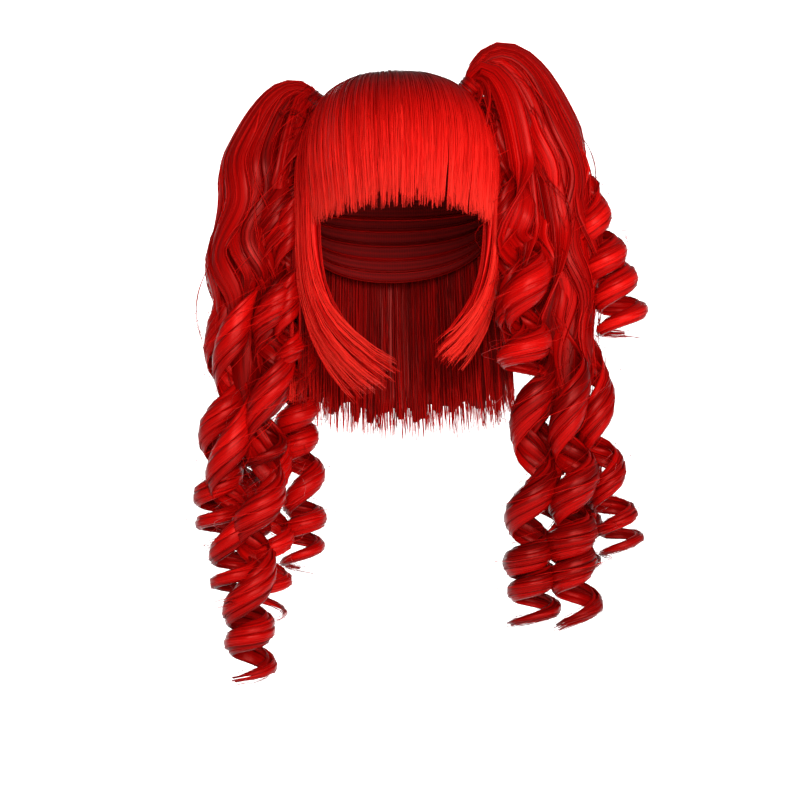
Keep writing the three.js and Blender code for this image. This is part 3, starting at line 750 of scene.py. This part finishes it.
def ringlet(row, core, root):
    """Even steps along a ringlet: its line, the way that its flat side faces, and the share of its axis."""
    shares = np.linspace(0, 1, LOCK_STEPS)
    axis = sweep_axis(row["lift"], row["drop"], row["end"], shares)
    pair = cross_frame(axis)
    top = np.argmax(axis[:, 2])
    depth = -(axis[:, 2] + root[2]) / MM
    depth[:top] = depth[top]
    turns, marks = half_turns(depth, np.array(row["bulges"], float))
    angle = (0 if row["side"] > 0 else np.pi) - np.pi * turns
    facing = math.atan2(row["drop"][1] - core[1][1], row["drop"][0] - core[1][0])
    swing = (facing - angle[0] + np.pi) % (2 * np.pi) - np.pi
    ripe = ease(depth, marks[0], marks[2])
    uneven = 1 + CURL_UNEVEN * np.sin(UNEVEN_BEAT * turns + row["width"])
    curl = row["curl"] * MM * ripe * uneven * (1 - CURL_FLARE + 2 * CURL_FLARE * shares)
    line = axis + curl[:, None] * radial(pair, angle)
    out = radial(pair, angle + swing * (1 - ripe))
    run = np.r_[0, np.cumsum(np.linalg.norm(np.diff(line, axis=0), axis=1))]
    even = np.linspace(0, run[-1], LEAST_POINTS + POINTS_A_BULGE * len(row["bulges"]))
    pick = [np.interp(even, run, column) for column in (*line.T, *out.T, shares)]
    return root + np.stack(pick[:3], 1), np.stack(pick[3:6], 1), pick[6]


print("points on a ringlet:", LEAST_POINTS, "and", POINTS_A_BULGE, "for each bulge")

# %% [markdown]
# Tresses
#
# A ringlet is not one smooth ribbon. It parts along its length into tresses that lie side by side, a
# little above or below each other, and gather again at the tip. Each tress has a rounded body, and the
# strand tree lays loose fibre over it.

# %% Split, sweep and close
TRESSES, BOW = 6, 0.4
TRESS_SPREAD, TRESS_STRAY, TRESS_GATHER, GATHER_START = 0.8, 0.9, 0.8, 0.88
TRESS_STEP, STEP_STRAY = 0.6, 0.2
TRESS_HALVES, TRESS_FLAT, TRESS_THICKEST, TRESS_TINT = (0.26, 0.44), 0.4, 1.2 * MM, 0.08
BODY_SHORT, BODY_GROOVE, BODY_CLOSE, CLOSE_START = 2, 0.12, 0.85, 0.93


def lock_width(width, shares, tip):
    """Half width of a lock: narrow at the clasp, and narrowed to tip at its end."""
    return width / 2 * MM * blend(0.5, 1, ease(shares, 0, 0.2)) * blend(1, tip, ease(shares, 0.7, 1))


def tresses(line, out, wide, shares, shade):
    """Line, facing, half width, half depth and shade of each tress of a ringlet."""
    across, out = directions(line, out)
    splay = ease(shares, 0.2, 1)
    gather = 1 - TRESS_GATHER * ease(shares, GATHER_START, 1)
    places = (np.arange(TRESSES) + dice.uniform(0.3, 0.7, TRESSES)) / TRESSES * 2 - 1
    parts = []
    for number, place in enumerate(places):
        aside = TRESS_SPREAD * place * wide * gather + dice.uniform(-TRESS_STRAY, TRESS_STRAY) * MM * splay
        step = (-1) ** number * TRESS_STEP + dice.uniform(-STEP_STRAY, STEP_STRAY)
        lift = step * MM * (0.5 + splay) - BOW * place ** 2 * wide
        moved = line + aside[:, None] * across + lift[:, None] * out
        tilted = out + 2 * BOW * place * across
        half = wide * dice.uniform(*TRESS_HALVES)
        thin = np.minimum(TRESS_FLAT * half, TRESS_THICKEST)
        parts.append((moved, tilted, half, thin, shade + TRESS_TINT * dice.standard_normal()))
    return parts


def lock_body(line, out, wide, thin, ring):
    """Rounded section swept along a lock, grooved along its length and drawn in at the tip."""
    line, out, wide, thin = (part[:-BODY_SHORT] for part in (line, out, wide, thin))
    across, out = directions(line, out)
    turn = np.linspace(0, 2 * np.pi, ring, endpoint=False)
    deep = 1 - BODY_GROOVE * dice.uniform(0, 1, ring)
    close = (1 - BODY_CLOSE * ease(np.linspace(0, 1, len(line)), CLOSE_START, 1))[:, None]
    wide, thin = wide[:, None] * close, thin[:, None] * close
    return (line[:, None] + (wide * np.cos(turn) * deep)[..., None] * across[:, None]
            + (thin * np.sin(turn) * deep)[..., None] * out[:, None])


print("tresses in a ringlet:", TRESSES)

# %% [markdown]
# Waves and wisps
#
# Behind and above the ringlets the hair of a ponytail is one thick sheaf that only waves. It is laid
# round a core as overlapping wavy locks, and thin wisps stray across them from one side of the sheaf to
# the other. The core's sections give its half width along the way, so the sheaf swells and ends thin.

# %% Locks round the core
WAVES, WISPS, SHEAF_POINTS = 14, 14, 44
CORE_SECTIONS = ((0, 5), (0.07, 11), (0.25, 20), (0.5, 22), (0.75, 15), (0.95, 3))
WAVE_ENDS, WAVE_BEATS, WAVE_HALVES = (0.7, 0.98), (3.7, 4.2), (0.42, 0.62)
WAVE_SWING, WAVE_RISE, WAVE_STEP, WAVE_LEAST = 0.3, 0.12, 0.15, 3 * MM
WISP_STARTS, WISP_ENDS, WISP_BEATS, WISP_HALVES = (0.02, 0.3), (0.55, 0.95), (3, 6), (0.6, 2.2)
WISP_DRIFT, WISP_SWING, WISP_LIFT, WISP_RISE = 1.6, 0.2, 1.24, 0.12


def core_half(way):
    return np.interp(way, *np.array(CORE_SECTIONS).T) * MM


def sheaf_lock(core, way, angle, lift):
    """A line at a turn round the core, and the way that it faces."""
    axis = sweep_axis(*core, way)
    out = radial(cross_frame(axis), angle)
    return axis + (core_half(way) * lift)[:, None] * out, out


def wave(core, number):
    way = dice.uniform(*WAVE_ENDS) * np.linspace(0, 1, SHEAF_POINTS) ** 1.1
    ripe = ease(way, 0.12, 0.4)
    beat = 2 * np.pi * way * dice.uniform(*WAVE_BEATS) + dice.uniform(-0.7, 0.7)
    angle = 2 * np.pi * (number + dice.uniform(-0.4, 0.4)) / WAVES + WAVE_SWING * ripe * np.sin(beat)
    lift = 1.0 + WAVE_STEP * (number % 2) + dice.uniform(0, 0.04) + WAVE_RISE * ripe * np.sin(beat + 1.4)
    narrow = ease(way / way[-1], 0.6, 1)
    line, out = sheaf_lock(core, way, angle, lift * blend(1, 0.6, narrow))
    wide = np.maximum(core_half(way) * dice.uniform(*WAVE_HALVES), WAVE_LEAST) * blend(1, 0.12, narrow)
    return line, out, wide


def wisp(core):
    start, stop = dice.uniform(*WISP_STARTS), dice.uniform(*WISP_ENDS)
    way = np.linspace(start, stop, SHEAF_POINTS)
    angle = dice.uniform(0, 2 * np.pi) + dice.uniform(-WISP_DRIFT, WISP_DRIFT) * ease(way, start, stop)
    beat = 2 * np.pi * way * dice.uniform(*WISP_BEATS) + dice.uniform(0, 6)
    angle = angle + WISP_SWING * np.sin(beat)
    line, out = sheaf_lock(core, way, angle, WISP_LIFT + WISP_RISE * np.cos(beat))
    return line, out, np.full(SHEAF_POINTS, dice.uniform(*WISP_HALVES) * MM)


print("waves and wisps in a sheaf:", WAVES, WISPS)

# %% [markdown]
# Pieces of a ponytail
#
# Every ringlet is a piece of loose strands, and so are the waves and the wisps of a sheaf. Their bodies
# are gathered with the core's, so that one closed skin stands for the ponytail's solid. A body is a
# little smaller than its strands, which hide it except in the gaps between them, and there it is painted
# darker as shade; the core is painted darker still.

# %% Ringlets and sheaf
# Painted shade: how much darker each body is than its strands, and the dark tint of the core inside the
# sheaf.
RINGLET_TINT, RINGLET_TINT_STRAY, RINGLET_FILL, RINGLET_BODY_PAINTED_SHADE = 0.42, 0.08, 0.97, 0.04
WAVE_TINT, WAVE_TINT_STRAY, WAVE_BODY_PAINTED_SHADE = 0.38, 0.07, 0.1
WAVE_FLAT, WAVE_THICKEST, WAVE_FILL_ACROSS, WAVE_FILL_DEEP = 0.3, 2.6 * MM, 0.9, 0.8
WISP_TINT, WISP_FLAT = 0.5, 0.5
CORE_ROWS, CORE_END, CORE_FILL, CORE_PAINTED_SHADE = 40, 0.95, 0.9, 0.1
CORE_RING, RINGLET_RING, WAVE_RING = 20, 8, 10
loose_guides = []


def bundle(name, parts, **inputs):
    lines, outs, wides, thins, tints = (np.array(part) for part in zip(*parts))
    strands(name, lines, outs, wides, thins, tints[:, None], Inner_Share=0.85, Tint_Spread=0.25, Seed=23,
            **inputs)


def core_body(core, root):
    ways = np.linspace(0, CORE_END, CORE_ROWS)
    line = root + sweep_axis(*core, ways)
    half = core_half(ways) * CORE_FILL
    return lock_body(line, np.broadcast_to(FRONT, line.shape), half, half, CORE_RING)


def ringlets(prefix, tail, root):
    """Lay the ringlets of a ponytail, and give the grids and shades of their bodies."""
    grids, shades = [], []
    for number, values in enumerate(tail["locks"], 1):
        row = dict(zip(COLUMNS, values))
        line, out, shares = ringlet(row, tail["core"], root)
        wide = lock_width(row["width"], shares, row["tip"])
        # The ponytail's tone lowers this tint as painted shade.
        shade = RINGLET_TINT + tail["tone"] + RINGLET_TINT_STRAY * dice.standard_normal()
        parts = tresses(line, out, wide, shares, shade)
        bundle(f"{prefix}_ringlet_{number}", parts, Hairs=5, Hair_Width=0.6 * MM, Fray=0.04, Wander=3 * MM)
        grids += [lock_body(middle, facing, RINGLET_FILL * half, RINGLET_FILL * thin, RINGLET_RING)
                  for middle, facing, half, thin, tint in parts]
        # Each tress body is painted darker than its strands, as shade in the gaps.
        shades += [tint - RINGLET_BODY_PAINTED_SHADE for *_, tint in parts]
        loose_guides.append((f"{prefix}_flyaways_{number}", line[None], out[None], wide[None]))
    return grids, shades


def sheaf(prefix, tail, root):
    """Lay the waves and wisps of a ponytail, and give the grids and shades of the waves' bodies."""
    waves = [wave(tail["core"], number) for number in range(WAVES)]
    tints = WAVE_TINT + WAVE_TINT_STRAY * dice.standard_normal(WAVES)
    parts = [(root + line, out, wide, np.minimum(WAVE_FLAT * wide, WAVE_THICKEST), tint)
             for (line, out, wide), tint in zip(waves, tints)]
    grids = [lock_body(line, out, WAVE_FILL_ACROSS * wide, WAVE_FILL_DEEP * thin, WAVE_RING)
             for line, out, wide, thin, tint in parts]
    # Each wave body is painted darker than its strands, as shade in the gaps.
    shades = [tint - WAVE_BODY_PAINTED_SHADE for tint in tints]
    bundle(prefix + "_waves", parts, Hairs=17, Hair_Width=0.6 * MM, Fray=0.1, Wander=5 * MM)
    wisps = [wisp(tail["core"]) for _ in range(WISPS)]
    parts = [(root + line, out, wide, WISP_FLAT * wide, WISP_TINT + tail["tone"])
             for line, out, wide in wisps]
    bundle(prefix + "_wisps", parts, Hairs=4, Hair_Width=0.5 * MM, Fray=0.3, Wander=9 * MM)
    return grids, shades


print("sides of the bodies of core, ringlet and wave:", CORE_RING, RINGLET_RING, WAVE_RING)

# %% [markdown]
# Clasp and wrap
#
# A ponytail starts at its clasp, which sits square on the bob. A strand of hair is wound round a real
# clasp to hide it, and here rows of strands go once round its oval.

# %% Place of a clasp, and its wrap
CLASP_HEIGHT, CLASP_BITE, REST_GAP = 6.5 * MM, 1 * MM, 0.7 * MM
WRAP_HALVES, WRAP_TURNS, WRAP_POINTS, WRAP_ROWS = (13.5 * MM, 8.5 * MM), 2.1 * np.pi, 26, 5
NUDGE = 0.02


def clasp_place(azimuth, share):
    """Foot of a clasp on the bob, and unit directions round the head, down the head and straight out."""
    def place(turn, way):
        return over_head(math.radians(azimuth) + turn, (share + way) * np.pi / 2, HAIR_TOP + REST_GAP)
    round_head = place(NUDGE, 0) - place(-NUDGE, 0)
    round_head /= np.linalg.norm(round_head)
    out = np.cross(place(0, NUDGE) - place(0, -NUDGE), round_head)
    out /= np.linalg.norm(out)
    return place(0, 0), round_head, np.cross(round_head, out), out


def wrap(name, foot, round_head, down, out_of_head):
    turn = np.linspace(0, WRAP_TURNS, WRAP_POINTS)[None, :, None]
    level = np.linspace(0, CLASP_HEIGHT, WRAP_ROWS)[:, None, None]
    spoke = WRAP_HALVES[0] * np.cos(turn) * round_head + WRAP_HALVES[1] * np.sin(turn) * down
    lines = foot + spoke + level * out_of_head
    strands(name, lines, spoke + 0 * lines, half_width=1.2 * MM, half_depth=0.9 * MM, shade=0.3, Hairs=9,
            Inner_Share=0.3, Hair_Width=0.8 * MM, Fray=0.1, Wander=2 * MM, Tint_Spread=0.3, Seed=29)


for side, tail in PONYTAILS.items():
    print(side, "clasp at", clasp_place(tail["azimuth"], tail["share"])[0].round(4))

# %% [markdown]
# Both ponytails
#
# The two sides are built alike, from the tables above. Mirroring one would be quicker, but the two of a
# real pair never fall the same way, and here they are clipped at different heights too.

# %% Build both ponytails
for side, tail in PONYTAILS.items():
    clasp = clasp_place(tail["azimuth"], tail["share"])
    root = clasp[0] + clasp[3] * (CLASP_HEIGHT - CLASP_BITE)
    prefix = "ponytail_" + side
    # The core is painted dark, as the shade inside the sheaf.
    grids, shades = [core_body(tail["core"], root)], [CORE_PAINTED_SHADE]
    for lay in (ringlets, sheaf):
        more_grids, more_shades = lay(prefix, tail, root)
        grids += more_grids
        shades += more_shades
    body = skin(prefix + "_body", grids, hair_red, shades)
    keep(body, "hair_fibre", prefix)
    wrap("wrap_" + side, *clasp)

# %% [markdown]
# Flyaways
#
# A few threads always spring loose from a curled lock. They could be scattered at random, but they
# still keep the curl that they were set in, so they follow the ringlets at a distance.

# %% Loose threads
for name, lines, outs, wides in loose_guides:
    strands(name, lines, outs, half_width=1.5 * wides, half_depth=1.3 * wides, shade=0.4, Hairs=4,
            Inner_Share=0.7, Hair_Width=0.4 * MM, Fray=0.4, Wander=22 * MM, Tint_Spread=0.3, Seed=41)

# %% [markdown]
# Strays and teased hair
#
# Some threads stand off in a bow of their own, given by its start, handle and end from the clasp. Close
# to the clasp the hair is teased: combed backwards until it is short, crimped and matt.

# %% Bows and crimped hair
STRAYS = {
    "left": [((78, -8, -28), (102, -8, -50), (92, -8, -84)),
             ((98, -6, -86), (120, -6, -98), (122, -6, -120))],
    "right": [((-74, -6, -110), (-104, -8, -150), (-80, -6, -190))],
}
TEASED, TEASE_STEP, TEASE_CRIMP = 16, 7 * MM, 1.6 * MM
TEASE_LEAST, TEASE_MOST, TEASE_BOW = (4, -16, -42), (34, -12, -8), (0, -8 * MM, 0)
steps = np.linspace(0, 1, 20)[:, None]
for side, tail in PONYTAILS.items():
    foot = clasp_place(tail["azimuth"], tail["share"])[0]
    lines = np.array([foot + blend(blend(start, bow, steps), blend(bow, end, steps), steps)
                      for start, bow, end in np.array(STRAYS[side]) * MM])
    strands(f"ponytail_{side}_strays", lines, FRONT, half_width=1.5 * MM, half_depth=1 * MM, shade=0.4,
            Hairs=3, Inner_Share=0.0, Hair_Width=0.45 * MM, Fray=0.2, Wander=8 * MM, Tint_Spread=0.2, Seed=43)
    away = math.copysign(1, tail["core"][0][0])
    ends = dice.uniform(TEASE_LEAST, TEASE_MOST, (TEASED, 3))[:, None] * (away * MM, MM, MM)
    lines = foot + ends * steps + TEASE_BOW * np.sin(np.pi * steps / 2)
    crimp = 2 * np.pi * np.linalg.norm(ends, axis=2)[:, None] * steps / TEASE_STEP
    lines = lines + TEASE_CRIMP * np.sin(crimp + dice.uniform(0, 6, (TEASED, 1, 3)))
    strands(f"ponytail_{side}_teased", lines, FRONT, half_width=4 * MM, half_depth=2 * MM, shade=0.25,
            Hairs=6, Inner_Share=0.0, Hair_Width=0.55 * MM, Fray=0.3, Wander=9 * MM, Tint_Spread=0.3, Seed=47)

# %% [markdown]
# The clasps
#
# Each ponytail is sewn to a small plastic claw clip, which bites into the bob and hides under the hair.
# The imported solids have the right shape, so they stay and only get their material.

# %% Clasp plastic
# Injection-moulded acetal, tumbled to a soft gloss.
acetal, _ = new_material("acetal_gloss_red",
                         **{"Base Color": colour("#5a0505"), "Roughness": 0.45, "IOR": 1.48})
for name in ("clasp_left", "clasp_right"):
    bpy.data.objects[name].data.materials.clear()
    bpy.data.objects[name].data.materials.append(acetal)
    print(name, "in", acetal.name)

# %% [markdown]
# Camera
#
# The wig is seen level and a little from its right. A long lens from two metres keeps the near ringlets
# from looking larger than the far ones.

# %% Camera
VIEW_TURN, VIEW_DISTANCE, VIEW_FIELD, SENSOR = math.radians(-5), 2.2, 0.6, 36
AIM = np.array((2.2, 0, -237)) * MM
camera = bpy.data.objects.new("camera", bpy.data.cameras.new("camera"))
bpy.context.collection.objects.link(camera)
camera.location = AIM + VIEW_DISTANCE * np.array((math.sin(VIEW_TURN), -math.cos(VIEW_TURN), 0))
camera.rotation_euler = (math.pi / 2, 0, VIEW_TURN)
camera.data.sensor_width = SENSOR
camera.data.lens = SENSOR * VIEW_DISTANCE / VIEW_FIELD
bpy.context.scene.camera = camera
print("lens in mm:", round(camera.data.lens))

# %% [markdown]
# Floor and backdrop
#
# A studio hangs a wide roll of paper that curves from the wall to the floor, so no edge shows behind
# the object. A plane and a wall would leave a line there. It stands well behind, to leave room for
# views from the back.

# %% Paper sweep
FLOOR_Z, SWEEP_START, SWEEP_RADIUS, WALL_HEIGHT = -0.56, 2.6, 0.8, 1.6
FLOOR_FRONT, FLOOR_HALF, BEND_STEPS = -3.0, 4, 12
# Matt coated paper. It glows a little, as a lit backdrop does, so that it stays white in the picture.
paper, _ = new_material("white_paper_sweep", **{
    "Base Color": colour("#f6f6f6"), "Roughness": 0.9,
    "Emission Color": colour("#ffffff"), "Emission Strength": 0.4})
profile = [(FLOOR_FRONT, 0.0)]
for bend in np.linspace(0, np.pi / 2, BEND_STEPS):
    profile.append((SWEEP_START + SWEEP_RADIUS * math.sin(bend), SWEEP_RADIUS * (1 - math.cos(bend))))
profile.append((SWEEP_START + SWEEP_RADIUS, WALL_HEIGHT))
n = len(profile)
sweep = bpy.data.meshes.new("floor_sweep")
sweep.from_pydata([(x, y, FLOOR_Z + z) for x in (-FLOOR_HALF, FLOOR_HALF) for y, z in profile], [],
                  [(i, n + i, n + i + 1, i + 1) for i in range(n - 1)])
sweep.polygons.foreach_set("use_smooth", np.ones(n - 1, bool))
sweep.materials.append(paper)
floor = bpy.data.objects.new("floor_sweep", sweep)
bpy.context.collection.objects.link(floor)
print("paper strips:", len(sweep.polygons))

# %% [markdown]
# Lights
#
# Gloss on hair shows as bands across the curls. A broad key light from the front draws them, a fill
# light opens the shadows on one side, a third light is for the paper alone, and a dim white world keeps
# the gaps between locks from going black.

# %% Lights
LIGHTS = (("key", (-0.1, -2.2, 0.25), AIM, 0.8, 48), ("fill", (0.9, -2.0, -0.1), AIM, 0.9, 26),
          ("backdrop", (0, 1.2, 1.0), (0, 2.7, -0.4), 1.2, 56))
WORLD_STRENGTH = 0.18
for name, place, target, size, power in LIGHTS:
    lamp = bpy.data.lights.new(name, "AREA")
    lamp.size, lamp.energy = size, power
    holder = bpy.data.objects.new(name, lamp)
    bpy.context.collection.objects.link(holder)
    holder.location = place
    away = np.subtract(place, target)
    tilt = math.atan2(math.hypot(away[0], away[1]), away[2])
    holder.rotation_euler = (tilt, 0, math.atan2(away[1], away[0]) + math.pi / 2)
    print(name, power, "W")
world = bpy.data.worlds.new("studio")
bpy.context.scene.world = world
world.use_nodes = True
world.node_tree.nodes["Background"].inputs["Color"].default_value = (1, 1, 1, 1)
world.node_tree.nodes["Background"].inputs["Strength"].default_value = WORLD_STRENGTH
bpy.context.scene.view_settings.view_transform = "Standard"

# %% [markdown]
# Triangles
#
# The triangles of every kept piece are added up. Loose hair may stand only a little proud of the
# imported solids.

# %% Triangles in all
print("triangles in all:", sum(triangles))
